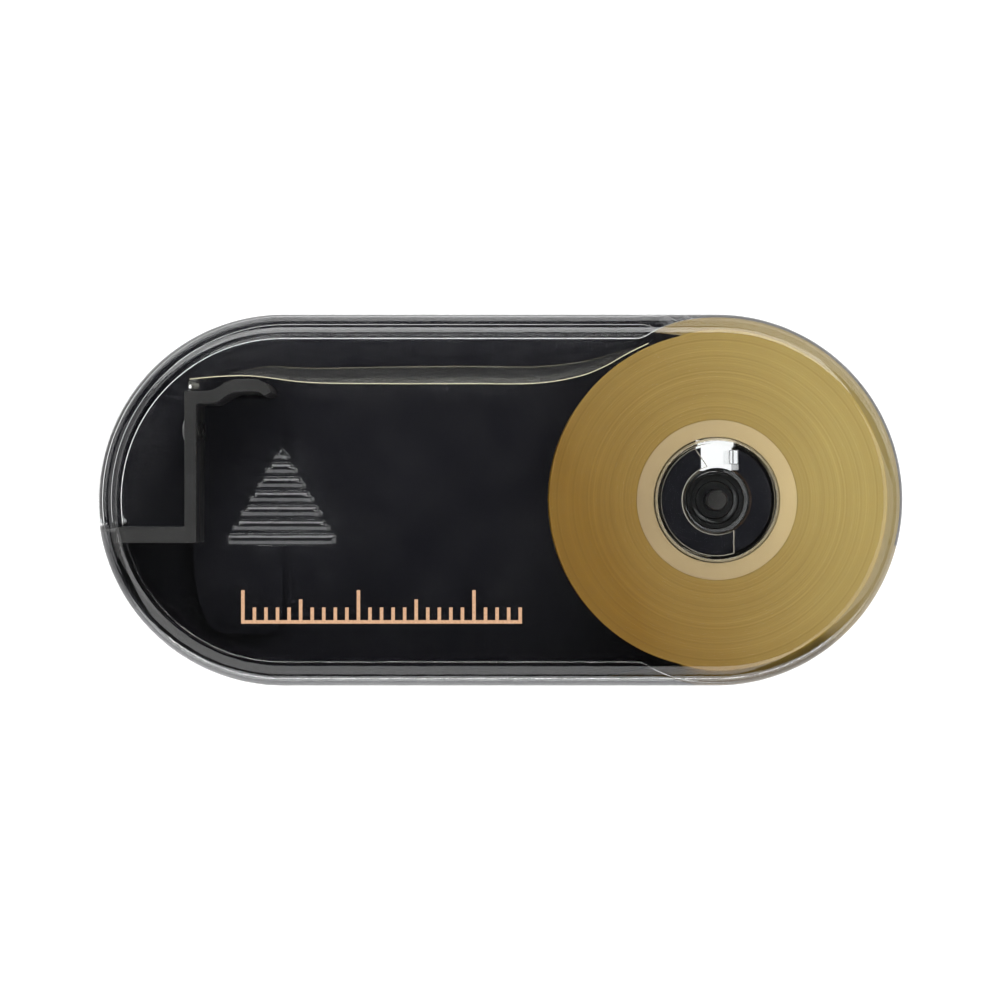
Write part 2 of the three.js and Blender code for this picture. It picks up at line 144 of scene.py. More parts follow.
def new_object(name, bm, material, sharp_deg=40):
    """A mesh object from a bmesh in millimetres, smooth except over edges sharper than sharp_deg."""
    same_point = 1e-5
    bmesh.ops.remove_doubles(bm, verts=bm.verts, dist=same_point)
    bmesh.ops.recalc_face_normals(bm, faces=bm.faces)
    mesh = bpy.data.meshes.new(name)
    bm.transform(Matrix.Scale(MM, 4))
    bm.to_mesh(mesh)
    bm.free()
    smooth(mesh, sharp_deg)
    piece = bpy.data.objects.new(name, mesh)
    bpy.context.scene.collection.objects.link(piece)
    mesh.materials.append(material)
    return piece


def smooth(mesh, sharp_deg):
    mesh.polygons.foreach_set("use_smooth", [True] * len(mesh.polygons))
    mesh.set_sharp_from_angle(angle=math.radians(sharp_deg))


def apply_modifiers(piece):
    bpy.context.view_layer.update()
    evaluated = piece.evaluated_get(bpy.context.evaluated_depsgraph_get())
    mesh = bpy.data.meshes.new_from_object(evaluated)
    mesh.name = piece.name
    piece.modifiers.clear()
    piece.data = mesh


def combine(piece, other, operation):
    """Cuts, joins or intersects piece with other, which is used up."""
    modifier = piece.modifiers.new(operation, "BOOLEAN")
    modifier.operation = operation
    modifier.solver = "EXACT"
    modifier.object = other
    apply_modifiers(piece)
    bpy.data.objects.remove(other)


def cut(piece, tool):
    combine(piece, tool, "DIFFERENCE")


def join(piece, other):
    combine(piece, other, "UNION")


def clean(piece, sharp_deg=40):
    """Merges what a boolean leaves close together and drops its old normals."""
    merge = 2e-6
    collapse = 1e-6
    bm = bmesh.new()
    bm.from_mesh(piece.data)
    bmesh.ops.remove_doubles(bm, verts=bm.verts, dist=merge)
    bmesh.ops.dissolve_degenerate(bm, edges=bm.edges, dist=collapse)
    bm.to_mesh(piece.data)
    bm.free()
    if "custom_normal" in piece.data.attributes:
        piece.data.attributes.remove(piece.data.attributes["custom_normal"])
    smooth(piece.data, sharp_deg)
    return piece


def round_edges(piece, width, segments, edge_slot=-1):
    """Rounds the sharp edges and keeps flat faces flat. edge_slot is the new faces' material."""
    sharp_deg = 35
    clean(piece)
    bevel = piece.modifiers.new("round", "BEVEL")
    bevel.material = edge_slot
    bevel.width = width * MM
    bevel.segments = segments
    bevel.limit_method = "ANGLE"
    bevel.angle_limit = math.radians(sharp_deg)
    bevel.miter_outer = "MITER_ARC"
    apply_modifiers(piece)
    smooth(piece.data, 60)
    return flat_shading(piece)


def flat_shading(piece):
    """Weights normals by face area, so that wide faces reflect as flat ones."""
    weighted = piece.modifiers.new("weighted", "WEIGHTED_NORMAL")
    weighted.keep_sharp = True
    weighted.weight = 80
    apply_modifiers(piece)
    return piece


def skin(name, rings, material, loop=False, sharp_deg=40):
    """Quads between closed rings of points. The end rings are filled, or with loop joined to each other."""
    bm = bmesh.new()
    count = len(rings[0])
    rows = []
    for ring in rings:
        single = (Vector(ring[0]) - Vector(ring[count // 2])).length < 1e-6
        points = ring[:1] if single else ring
        rows.append([bm.verts.new(point) for point in points] * (count if single else 1))
    pairs = list(zip(rows, rows[1:]))
    if loop:
        pairs.append((rows[-1], rows[0]))
    for low, high in pairs:
        for i in range(count):
            j = (i + 1) % count
            corners = list(dict.fromkeys((low[i], low[j], high[j], high[i])))
            if len(corners) > 2:
                bm.faces.new(corners)
    if not loop:
        for row in (rows[0][::-1], rows[-1]):
            if row[0] is not row[1]:
                bm.faces.new(row)
    return new_object(name, bm, material, sharp_deg)


def turned(name, profile, material, centre=(HUB_X, 0.0), segments=128, loop=False, sharp_deg=40):
    """Profile of (radius, height) points turned about a vertical axis."""
    rings = []
    for radius, height in profile:
        ring = []
        for i in range(segments):
            angle = 2 * math.pi * i / segments
            ring.append((centre[0] + radius * math.cos(angle), centre[1] + radius * math.sin(angle), height))
        rings.append(ring)
    return skin(name, rings, material, loop=loop, sharp_deg=sharp_deg)


def ring_profile(inner, outer, bottom, top, edge):
    """Closed section of a ring with its four corners rounded."""
    corners = [
        (inner + edge, bottom + edge, 180, 270), (outer - edge, bottom + edge, 270, 360),
        (outer - edge, top - edge, 0, 90), (inner + edge, top - edge, 90, 180),
    ]
    points = []
    for x, y, start, end in corners:
        points += arc(x, y, edge, start, end, 3)
    return points


def arc(x, y, radius, start_deg, end_deg, steps):
    """Points of an arc, with both its ends."""
    points = []
    for i in range(steps + 1):
        angle = math.radians(start_deg + (end_deg - start_deg) * i / steps)
        points.append((x + radius * math.cos(angle), y + radius * math.sin(angle)))
    return points


def bezier(a, b, c, d, steps):
    """Points of a cubic curve after its first."""
    points = []
    for i in range(1, steps + 1):
        t = i / steps
        s = 1 - t
        points.append(tuple(
            s**3 * a[k] + 3 * s * s * t * b[k] + 3 * s * t * t * c[k] + t**3 * d[k] for k in range(2)))
    return points


def prism(name, outline, bottom, top, material):
    """Outline of (x, y) points raised from bottom to top."""
    rings = [[(x, y, z) for x, y in outline] for z in (bottom, top)]
    return skin(name, rings, material)


def block(name, low, high, material):
    outline = [(low[0], low[1]), (high[0], low[1]), (high[0], high[1]), (low[0], high[1])]
    return prism(name, outline, low[2], high[2], material)


def smooth_step(low, high, t):
    """0 below low, 1 above high, and a smooth rise between them."""
    t = min(max((t - low) / (high - low), 0.0), 1.0)
    return t * t * (3 - 2 * t)


# ---------- The stadium outline ----------

ARC_STEPS = 72
SIDE_STEPS = 72


def stations(extra):
    """Places round the outline, counter-clockwise from the lower right: (arc centre x, degrees)."""
    places = []
    for x, start in ((END_X, -90.0), (-END_X, 90.0)):
        angles = {start + 180.0 * i / ARC_STEPS for i in range(ARC_STEPS + 1)}
        angles |= {angle for centre, angle in extra if centre == x}
        places += [(x, angle) for angle in sorted(angles)]
        for i in range(1, SIDE_STEPS):
            places.append((x * (1 - 2 * i / SIDE_STEPS), start + 180.0))
    return places


def on_outline(place, radius):
    """The point at a radius from a place's centre, in its direction."""
    x, angle = place
    return x + radius * math.cos(math.radians(angle)), radius * math.sin(math.radians(angle))


def swept(name, places, sections, material):
    """Closed body round the outline: sections[i] is the list of (radius, height) at places[i]."""
    rings = []
    for k in range(len(sections[0])):
        ring = []
        for place, section in zip(places, sections):
            radius, height = section[k]
            ring.append((*on_outline(place, radius), height))
        rings.append(ring)
    return skin(name, rings, material)


def seam_angle(y):
    """Angle of the left end's outline at a given Y."""
    return 180.0 - math.degrees(math.asin(y / END_R))


# ---------- Materials ----------


def node_tree(name):
    """A new material, its tree and its shader."""
    material = bpy.data.materials.new(name)
    material.use_nodes = True
    nodes = material.node_tree.nodes
    return material, material.node_tree, nodes["Principled BSDF"]


def add(tree, kind, **values):
    """A new node with values for its sockets or its settings."""
    node = tree.nodes.new(kind)
    for key, value in values.items():
        if key in node.inputs:
            node.inputs[key].default_value = value
        else:
            setattr(node, key, value)
    return node


def object_places(tree, scale=(1, 1, 1), origin=(0, 0, 0)):
    """Places on the piece in metres, measured from origin and then scaled."""
    coordinates = add(tree, "ShaderNodeTexCoord")
    mapping = add(tree, "ShaderNodeMapping", Scale=scale, Location=[-s * o for s, o in zip(scale, origin)])
    tree.links.new(coordinates.outputs["Object"], mapping.inputs["Vector"])
    return mapping.outputs["Vector"]


def noise(tree, places, scale, detail):
    node = add(tree, "ShaderNodeTexNoise", Scale=scale, Detail=detail)
    tree.links.new(places, node.inputs["Vector"])
    return node.outputs["Fac"]


def spread(tree, value, low, high, from_low=0.3, from_high=0.7):
    """Stretches a value to run from low to high; noise lies mostly between 0.3 and 0.7."""
    node = add(tree, "ShaderNodeMapRange")
    node.inputs["From Min"].default_value = from_low
    node.inputs["From Max"].default_value = from_high
    node.inputs["To Min"].default_value = low
    node.inputs["To Max"].default_value = high
    tree.links.new(value, node.inputs["Value"])
    return node.outputs["Result"]


def blend_colours(tree, value, first, second):
    node = add(tree, "ShaderNodeMix", data_type="RGBA")
    node.inputs[6].default_value = (*first, 1)
    node.inputs[7].default_value = (*second, 1)
    tree.links.new(value, node.inputs["Factor"])
    return node.outputs[2]


def bump(tree, shader, height, strength, distance):
    node = add(tree, "ShaderNodeBump", Strength=strength, Distance=distance * MM)
    tree.links.new(height, node.inputs["Height"])
    tree.links.new(node.outputs["Normal"], shader.inputs["Normal"])


def plastic(name, first, second, rough_low, rough_high, grain=5000.0, grain_height=0.004, specular=0.5):
    """Moulded plastic: slow colour drift, uneven gloss and a fine spark-eroded grain."""
    material, tree, shader = node_tree(name)
    places = object_places(tree)
    drift = noise(tree, places, 120.0, 4.0)
    gloss = noise(tree, places, 400.0, 5.0)
    fine = noise(tree, places, grain, 2.0)
    colour = blend_colours(tree, spread(tree, drift, 0, 1), first, second)
    tree.links.new(colour, shader.inputs["Base Color"])
    tree.links.new(spread(tree, gloss, rough_low, rough_high), shader.inputs["Roughness"])
    shader.inputs["Specular IOR Level"].default_value = specular
    bump(tree, shader, fine, 0.35, grain_height)
    return material


def metal(name, first, second, rough_low, rough_high, stretch):
    """Rolled metal: brushed streaks along one direction."""
    material, tree, shader = node_tree(name)
    streaks = noise(tree, object_places(tree, stretch), 1.0, 4.0)
    blotches = noise(tree, object_places(tree), 900.0, 3.0)
    colour = blend_colours(tree, spread(tree, blotches, 0, 1), first, second)
    tree.links.new(colour, shader.inputs["Base Color"])
    tree.links.new(spread(tree, streaks, rough_low, rough_high), shader.inputs["Roughness"])
    shader.inputs["Metallic"].default_value = 1.0
    bump(tree, shader, streaks, 0.25, 0.003)
    return material


def lets_lamps_through(tree, shader):
    """Shadow rays pass the clear plastic, so that lamps light what is behind it."""
    output = tree.nodes["Material Output"]
    path = add(tree, "ShaderNodeLightPath")
    open_side = add(tree, "ShaderNodeBsdfTransparent")
    mix = add(tree, "ShaderNodeMixShader")
    tree.links.new(path.outputs["Is Shadow Ray"], mix.inputs["Fac"])
    tree.links.new(shader.outputs["BSDF"], mix.inputs[1])
    tree.links.new(open_side.outputs["BSDF"], mix.inputs[2])
    tree.links.new(mix.outputs["Shader"], output.inputs["Surface"])


def clear_plastic(name):
    """Polished clear plastic, with the faint waviness of a moulding."""
    material, tree, shader = node_tree(name)
    places = object_places(tree)
    waves = noise(tree, places, 60.0, 1.0)
    bump(tree, shader, waves, 0.15, 0.02)
    shader.inputs["Base Color"].default_value = (0.97, 0.98, 0.98, 1)
    shader.inputs["Roughness"].default_value = 0.015
    shader.inputs["IOR"].default_value = 1.5
    shader.inputs["Transmission Weight"].default_value = 1.0
    lets_lamps_through(tree, shader)
    return material


def painted_light_slope(tree, wander):
    """Painted light: 0 at the roll's lower left, its painted shaded side, to 1 at its upper right, its painted
    lit side, with a slow unevenness of the given share.
    """
    # The slope paints light falling from the upper right: painted shade at the lower left, painted light at
    # the upper right.
    slope = add(tree, "ShaderNodeVectorMath", operation="DOT_PRODUCT")
    tree.links.new(object_places(tree, (1, 1, 1), (HUB_X * MM, 0, 0)), slope.inputs[0])
    slope.inputs[1].default_value = (0.9, 0.45, 0.0)
    reach = ROLL_R * 0.75 * MM
    side = spread(tree, slope.outputs["Value"], 0, 1 - wander, -reach, reach)
    uneven = spread(tree, noise(tree, object_places(tree), 60.0, 3.0), 0, wander)
    both = add(tree, "ShaderNodeMath", operation="ADD")
    tree.links.new(side, both.inputs[0])
    tree.links.new(uneven, both.inputs[1])
    return both.outputs["Value"]


def core_plastic(name):
    """Moulded core: beige, with painted light that makes it darker at its lower left and lighter at its upper
    right, and a fine matt grain.
    """
    material, tree, shader = node_tree(name)
    # Painted shade at the core's lower left and painted light at its upper right.
    colour = blend_colours(tree, painted_light_slope(tree, 0.2), (0.103, 0.066, 0.030), (0.375, 0.285, 0.132))
    fine = noise(tree, object_places(tree), 3000.0, 2.0)
    tree.links.new(colour, shader.inputs["Base Color"])
    tree.links.new(spread(tree, fine, 0.5, 0.65), shader.inputs["Roughness"])
    shader.inputs["Specular IOR Level"].default_value = 0.4
    bump(tree, shader, fine, 0.35, 0.01)
    return material


def wound_tape(name):
    """Side of a wound roll: fine turns and broader bands, honey coloured, with painted light that makes it
    darker at the lower left and lighter at the upper right.
    """
    material, tree, shader = node_tree(name)
    flat = object_places(tree, (1, 1, 0), (HUB_X * MM, 0, 0))
    length = add(tree, "ShaderNodeVectorMath", operation="LENGTH")
    tree.links.new(flat, length.inputs[0])
    radius = length.outputs["Value"]
    turns = add(tree, "ShaderNodeTexNoise", noise_dimensions="1D", Scale=6500.0, Detail=3.0)
    tree.links.new(radius, turns.inputs["W"])
    bands = add(tree, "ShaderNodeTexNoise", noise_dimensions="1D", Scale=900.0, Detail=3.0)
    tree.links.new(radius, bands.inputs["W"])
    grain = noise(tree, object_places(tree), 7000.0, 2.0)
    # Honey colour running from painted shade at the lower left to painted light at the upper right.
    honey_with_painted_light = blend_colours(tree, painted_light_slope(tree, 0.15), (0.102, 0.050, 0.002), (0.220, 0.165, 0.052))
    banded = add(tree, "ShaderNodeMix", data_type="RGBA", blend_type="MULTIPLY")
    tree.links.new(spread(tree, bands.outputs["Fac"], 0.0, 1.0), banded.inputs["Factor"])
    tree.links.new(honey_with_painted_light, banded.inputs[6])
    banded.inputs[7].default_value = (1.12, 1.14, 1.2, 1)
    lined = add(tree, "ShaderNodeMix", data_type="RGBA", blend_type="MULTIPLY")
    tree.links.new(spread(tree, turns.outputs["Fac"], 1.0, 0.0), lined.inputs["Factor"])
    tree.links.new(banded.outputs[2], lined.inputs[6])
    lined.inputs[7].default_value = (0.84, 0.81, 0.74, 1)
    tree.links.new(lined.outputs[2], shader.inputs["Base Color"])
    tree.links.new(spread(tree, grain, 0.42, 0.58), shader.inputs["Roughness"])
    shader.inputs["Specular IOR Level"].default_value = 0.12
    shader.inputs["Subsurface Weight"].default_value = 0.25
    shader.inputs["Subsurface Radius"].default_value = (1.0, 0.6, 0.25)
    shader.inputs["Subsurface Scale"].default_value = 1.0 * MM
    bump(tree, shader, turns.outputs["Fac"], 0.3, 0.006)
    return material


def tape_film(name, tint, haze):
    """One layer of clear tape with faint stretch lines along it; haze is the share of light it scatters."""
    material, tree, shader = node_tree(name)
    lines = noise(tree, object_places(tree, (60, 400, 5000)), 1.0, 3.0)
    bump(tree, shader, lines, 0.2, 0.01)
    shader.inputs["Base Color"].default_value = (*tint, 1)
    shader.inputs["Roughness"].default_value = 0.08
    shader.inputs["IOR"].default_value = 1.3
    shader.inputs["Transmission Weight"].default_value = 1 - haze
    lets_lamps_through(tree, shader)
    return material


def copper_ink(name):
    """Printed copper ink: tiny bright and dull flakes."""
    material, tree, shader = node_tree(name)
    flakes = noise(tree, object_places(tree), 6000.0, 2.0)
    colour = blend_colours(tree, spread(tree, flakes, 0, 1), (0.46, 0.26, 0.145), (0.60, 0.37, 0.225))
    tree.links.new(colour, shader.inputs["Base Color"])
    tree.links.new(spread(tree, flakes, 0.55, 0.35), shader.inputs["Roughness"])
    shader.inputs["Metallic"].default_value = 0.35
    bump(tree, shader, flakes, 0.4, 0.01)
    return material


black = plastic("black_plastic", (0.0022, 0.0022, 0.0036), (0.0045, 0.0045, 0.0062), 0.16, 0.26,
                specular=0.28)
matt = plastic("matt_black_plastic", (0.005, 0.005, 0.005), (0.011, 0.0105, 0.01), 0.42, 0.58,
               grain=4000.0, grain_height=0.012, specular=0.22)
brown = plastic("smoky_brown_plastic", (0.075, 0.043, 0.024), (0.13, 0.078, 0.046), 0.12, 0.22)
beige = core_plastic("beige_core")
nylon = plastic("natural_nylon", (0.68, 0.66, 0.58), (0.8, 0.78, 0.7), 0.45, 0.6)
rubber = plastic("black_rubber", (0.006, 0.006, 0.006), (0.012, 0.012, 0.012), 0.6, 0.8)
clear = clear_plastic("clear_plastic")
frosted = tape_film("frosted_edge", (0.8, 0.74, 0.62), 0.3)
# Painted reflection: the core's colour, as seen through the clear collar, painted on the collar's upper outer
# edge.
core_painted_reflection = tape_film("collar_edge_painted_reflection", (0.5, 0.42, 0.27), 0.3)
steel = metal("blade_steel", (0.3, 0.3, 0.29), (0.4, 0.4, 0.39), 0.06, 0.16, (300, 6000, 300))
dark_steel = metal("dark_steel", (0.028, 0.027, 0.026), (0.06, 0.058, 0.055), 0.3, 0.45, (2500, 2500, 600))
gold = wound_tape("wound_tape")
film = tape_film("tape_film", (0.78, 0.76, 0.69), 0.004)
film_edge = tape_film("tape_film_edge", (0.75, 0.68, 0.48), 0.6)
copper = copper_ink("copper_ink")


# ---------- Rear shell ----------


def inner_radius(place, wall):
    """From a place's centre to the wall's inside: full wall along the case, thin round the roll."""
    x, angle = place
    thick = END_R - wall
    thin = END_R - WALL_AT_ROLL
    if abs(angle) != 90.0 and angle != 270.0:
        return thin if x == END_X else thick
    at_roll = math.sqrt(max(thin**2 - (x - HUB_X) ** 2, 0.0))
    return max(thick, at_roll)


def shell_section(place, weight):
    """Section of plate and wall: weight 1 where the side wall stands, 0 where there is only the plate."""
    inset = END_R - 3.4
    back_round = 0.6
    top_round = 0.12 + 0.1 * weight
    top = SEAT_TOP + (WALL_TOP - SEAT_TOP) * weight
    foot = 0.02 + 0.2 * weight
    inner = inner_radius(place, BASE_WALL)
    edge = 0.12
    points = [(inset, 0.0)]
    points += arc(END_R - back_round, back_round, back_round, -90, 0, 5)
    points += arc(END_R - top_round, top - top_round, top_round, 0, 90, 4)
    points += arc(inner + edge, top - edge * weight, edge * max(weight, 0.01), 90, 180, 3)
    points += arc(inner - foot, PLATE_TOP + foot, foot, 0, -90, 3)
    points += [(inset, PLATE_TOP)]
    return points


def wall_end(x, angle):
    """Extra places for a wall's end, which starts at angle."""
    return [(x, angle + WALL_END_DEG * t) for t in (0.0, 0.15, 0.35, 0.65, 0.85, 1.0)]


def rear_shell():
    """Plate with its side wall, the lip by the roll, the hub's seat, the slot and the screw recesses."""
    start = seam_angle(SEAM_Y)
    stop = COVER_WALL_END_DEG - SWING_DEG - 1
    places = stations(wall_end(-END_X, start) + wall_end(END_X, stop - WALL_END_DEG))

    def wall_weight(place):
        x, angle = place
        if x == -END_X:
            return smooth_step(start, start + WALL_END_DEG, angle)
        if x == END_X:
            return 1 - smooth_step(stop - WALL_END_DEG, stop, angle)
        return 1.0 if angle > 180 else 0.0

    shell = swept("rear_shell_body", places, [shell_section(p, wall_weight(p)) for p in places], black)
    edge = 0.08
    lip_profile = ring_profile(LIP_INNER_R, LIP_OUTER_R, PLATE_TOP - SINK, LIP_TOP, edge)
    lip = turned("lip", lip_profile, black, loop=True)
    reach = 40.0
    wedge = [(HUB_X, 0.0)]
    for degrees in (stop - 4, stop + 14, COVER_WALL_END_DEG - 1):
        angle = math.radians(degrees)
        wedge.append((HUB_X + reach * math.cos(angle), reach * math.sin(angle)))
    combine(lip, prism("wedge", wedge, BELOW, ABOVE, black), "INTERSECT")
    join(shell, lip)
    seat_r = 8.0
    seat_top = 2.0
    seat_profile = ring_profile(COLLAR_R + 0.2, seat_r, PLATE_TOP - SINK, seat_top, edge)
    join(shell, turned("seat", seat_profile, black, loop=True))
    cut(shell, slot_block("slot", SLOT_LEFT, SLOT_RIGHT, SLOT_BOTTOM, SLOT_TOP, BELOW, 3))
    for node in SHANKS:
        low, high = box_mm(node)
        pivot = node == "pivot_screw"
        radius = (high.x - low.x) / 2 + (0.35 if pivot else 0.1)
        depth = 0.95 if pivot else low.z + 0.53
        lead = 0.12
        recess = [(0, BELOW), (radius + lead - BELOW, BELOW), (radius + lead, 0), (radius, lead),
                  (radius, depth), (0, depth)]
        cut(shell, turned("recess", recess, black, middle_of(low, high), 48))
    return flat_shading(clean(shell, 35))


# ---------- Cutter ----------


def guide_outline():
    """Flange, wall, platform and the rounded hump past it, seen from the front."""
    inner = NOTCH_X + NOTCH_WALL
    under = PLATFORM_Y - 1.1
    corner = 0.25
    hump_top = 10.5
    hump_under = 9.4
    steps = 10
    outline = [(FLANGE_LEFT, FLANGE_BOTTOM), (inner, FLANGE_BOTTOM), (inner, under - corner)]
    outline += arc(inner + corner, under - corner, corner, 180, 90, 4)[1:]
    outline += [(-25.2, under)]
    outline += bezier((-25.2, under), (-24.0, under), (-23.9, hump_under), (-22.6, hump_under), steps)
    outline += [(-21.4, hump_under)]
    outline += bezier((-21.4, hump_under), (-21.0, hump_under), (-20.7, 9.25), (-20.5, 9.0), 5)
    outline += [(-19.85, 9.35)]
    outline += bezier((-19.85, 9.35), (-20.1, 10.2), (-20.7, hump_top), (-21.7, hump_top), steps)
    outline += [(-22.6, hump_top)]
    outline += bezier((-22.6, hump_top), (-24.2, hump_top), (-24.3, PLATFORM_Y), (-25.6, PLATFORM_Y), steps)
    return outline + [(NOTCH_X, PLATFORM_Y), (NOTCH_X, FLANGE_TOP), (FLANGE_LEFT, FLANGE_TOP)]


def foot_outline():
    """Foot plate with two rounded corners on the right and a curved lower left side."""
    left = NOTCH_X + 0.01
    right = -19.4
    bottom = -11.9
    top = 9.0
    corner = 1.5
    start = (NOTCH_X + 3, bottom)
    outline = [start]
    outline += arc(right - corner, bottom + corner, corner, -90, 0, 5)
    outline += arc(right - corner, top - corner, corner, 0, 90, 5)
    outline += [(left, top), (left, FLANGE_BOTTOM)]
    outline += bezier((left, FLANGE_BOTTOM), (NOTCH_X + 0.2, -9.0), (NOTCH_X + 1, bottom), start, 8)[:-1]
    return outline


def cutter_frame():
    """Frame of the notch on its foot plate, which shows the witness marks of its two screws."""
    body = prism("cutter_frame_body", guide_outline(), cutter_low.z, cutter_high.z, black)
    side_gap = 0.07
    end_gap = 0.1
    slot_low = (blade_low.x - side_gap, blade_low.y - end_gap, blade_low.z - end_gap)
    slot_high = (blade_high.x + side_gap, PLATFORM_Y + 1, blade_high.z + end_gap)
    cut(body, block("slot", slot_low, slot_high, black))
    round_edges(body, 0.12, 3)
    foot_top = cutter_low.z + 1.6
    join(body, prism("foot", foot_outline(), cutter_low.z + 0.02, foot_top, black))
    mark_r = 1.9
    mark_top = foot_top + 0.04
    bore_r = 0.75
    bore_top = foot_top - SINK
    for node in ("frame_screw_upper", "frame_screw_lower"):
        centre = middle_of(*box_mm(node))
        mark = [(0, foot_top - SINK), (mark_r, foot_top - SINK), (mark_r, mark_top), (0, mark_top)]
        join(body, turned("mark", mark, black, centre, 64))
        bore = [(0, 0), (bore_r, 0), (bore_r, bore_top), (0, bore_top)]
        cut(body, turned("bore", bore, black, centre, 48))
    body.data.materials.append(matt)
    for face in body.data.polygons:
        if face.center.z > (foot_top + 0.1) * MM:
            face.material_index = 1
    return flat_shading(clean(body))


def cutter_blade():
    """Serrated strip: its outline runs in height and Y, its thickness along X."""
    teeth = 12
    width = blade_high.z - blade_low.z
    pitch = width / teeth
    root = blade_high.y - 0.75
    outline = [(0, blade_low.y), (width, blade_low.y), (width, root)]
    for tooth in reversed(range(teeth)):
        outline += [((tooth + 0.5) * pitch, blade_high.y), (tooth * pitch, root)]
    rings = [[(x, y, blade_low.z + u) for u, y in outline] for x in (blade_low.x, blade_high.x)]
    blade = skin("blade_strip", rings, steel)
    return round_edges(blade, 0.03, 2)


def blade_rivet(name, node):
    """Rivet along X: domed head on the left, shank, and the spread end on the wall's right side."""
    low, high = box_mm(node)
    y = (low.y + high.y) / 2
    z = (low.z + high.z) / 2
    shank = 0.45
    seat = low.x + 0.29
    right = NOTCH_X + NOTCH_WALL + 0.03
    section = [(low.x, 0.0), (low.x + 0.03, 0.45), (low.x + 0.12, 0.8), (low.x + 0.22, 0.97), (seat, 1.0)]
    section += [(seat, shank), (right, shank)]
    section += [(right, 0.75), (right + 0.1, 0.74), (high.x - 0.03, 0.6), (high.x, 0.0)]
    sides = 40
    rings = []
    for x, radius in section:
        rings.append([(x, py, pz) for py, pz in arc(y, z, radius, 0, 360, sides)[:-1]])
    return skin(name, rings, dark_steel)


# ---------- Screws ----------


def screw(node):
    """Pan-head screw, head down, with a cross recess and a grooved shank."""
    low, high = box_mm(node)
    x, y = middle_of(low, high)
    head = (high.x - low.x) / 2
    neck = low.z + (0.5 if node.startswith("hub") else 0.6)
    shank = SHANKS[node]
    crown = 0.2
    edge = 0.06
    profile = [(0, low.z)]
    profile += arc(head - crown, low.z + crown, crown, -90, 0, 4)
    profile += arc(head - edge, neck - edge, edge, 0, 90, 2)
    profile += [(shank, neck)]
    pitch = 0.4
    root = shank - 0.06
    plain = 0.3
    turns = int((high.z - neck - 0.8) / pitch)
    for turn in range(turns):
        z = neck + plain + pitch * turn
        profile += [(root, z), (root, z + 0.12), (shank, z + 0.22), (shank, z + 0.28)]
    lead = 0.05 if node == "pivot_screw" else 0.26
    profile += [(root, high.z - plain), (root, high.z - 0.05), (shank - lead, high.z), (0, high.z)]
    body = turned(node + "_steel", profile, dark_steel, (x, y), 48)
    half = head * 0.14
    reach = head * 0.6
    depth = low.z + (neck - low.z) * 0.5
    for sx, sy in ((reach, half), (half, reach)):
        cut(body, block("recess", (x - sx, y - sy, BELOW), (x + sx, y + sy, depth), dark_steel))
    return clean(body)


# ---------- Hub ----------


def slot_block(name, left, right, bottom, top, low_z, high_z):
    """A cutting block whose left and right are measured from the hub's axis."""
    return block(name, (HUB_X + left, bottom, low_z), (HUB_X + right, top, high_z), black)


def spool_hub():
    """Hub tube with its floor, a step down on the left half and the slot that the stop works in."""
    far = 10.0
    lead = 0.03
    floor_top = 3.2
    profile = [
        (0, hub_low.z), (HUB_R - lead, hub_low.z), (HUB_R, hub_low.z + lead), (HUB_R, hub_high.z - lead),
        (HUB_R - lead, hub_high.z), (HUB_BORE_R + lead, hub_high.z), (HUB_BORE_R, hub_high.z - lead),
        (HUB_BORE_R, floor_top), (0, floor_top)]
    hub = turned("spool_hub_body", profile, black)
    cut(hub, slot_block("step", -far, KEY_END + 0.1, -far, far, HUB_LOW_TOP, ABOVE))
    cut(hub, slot_block("slot", SLOT_LEFT, SLOT_RIGHT, SLOT_BOTTOM, far, BELOW, ABOVE))
    screw_hole = [(0, 0), (0.95, 0), (0.95, 5), (0, 5)]
    cut(hub, turned("bore", screw_hole, black, segments=64))
    round_edges(hub, 0.09, 3)
    hub.data.materials.append(brown)
    for face in hub.data.polygons:
        in_bore = axis_distance(face) < HUB_BORE_R + 0.02
        if in_bore and floor_top - 0.1 < face.center.z / MM < HUB_LOW_TOP - 0.2:
            face.material_index = 1
    return hub


def axis_distance(face):
    return math.hypot(face.center.x / MM - HUB_X, face.center.y / MM)


def stop_pad():
    low, high = box_mm("stop_pad")
    return round_edges(block("stop_pad_body", low, high, clear), 0.12, 3)


def hub_collar():
    """Clear collar with a painted reflection of the core's colour on its upper outer edge, the screw post, and
    the stop key in the hub's face.
    """
    bore_r = 0.92
    bore_top = WEB_BOTTOM - 0.15
    tip_r = 1.65
    flare = 1.15
    edge = 0.05
    top_round = 0.3
    profile = [(0, bore_top), (bore_r, bore_top), (bore_r, POST_TIP), (tip_r - edge, POST_TIP)]
    profile += [(tip_r, POST_TIP + edge)]
    for t in (0.2, 0.4, 0.6, 0.8, 0.92, 1):
        profile.append((tip_r + flare * t**1.3, POST_TIP + edge + (WEB_BOTTOM - POST_TIP - edge) * t))
    profile += [(COLLAR_BORE_R, WEB_BOTTOM), (COLLAR_BORE_R, collar_low.z + edge)]
    profile += [(COLLAR_BORE_R + edge, collar_low.z), (COLLAR_R - edge, collar_low.z)]
    profile += [(COLLAR_R, collar_low.z + edge)]
    profile += arc(COLLAR_R - top_round, collar_high.z - top_round, top_round, 0, 90, 6)
    profile += [(0, collar_high.z)]
    body = turned("hub_collar_body", profile, clear)
    body.data.materials.append(frosted)
    join(body, stop_key())
    body.data.materials.append(core_painted_reflection)
    # Faces of the collar's upper outer edge take the painted reflection of the core.
    for face in body.data.polygons:
        on_edge = 0.01 < collar_high.z - face.center.z / MM < top_round
        if on_edge and axis_distance(face) > COLLAR_R - top_round:
            face.material_index = 2
    return flat_shading(clean(body, 35))


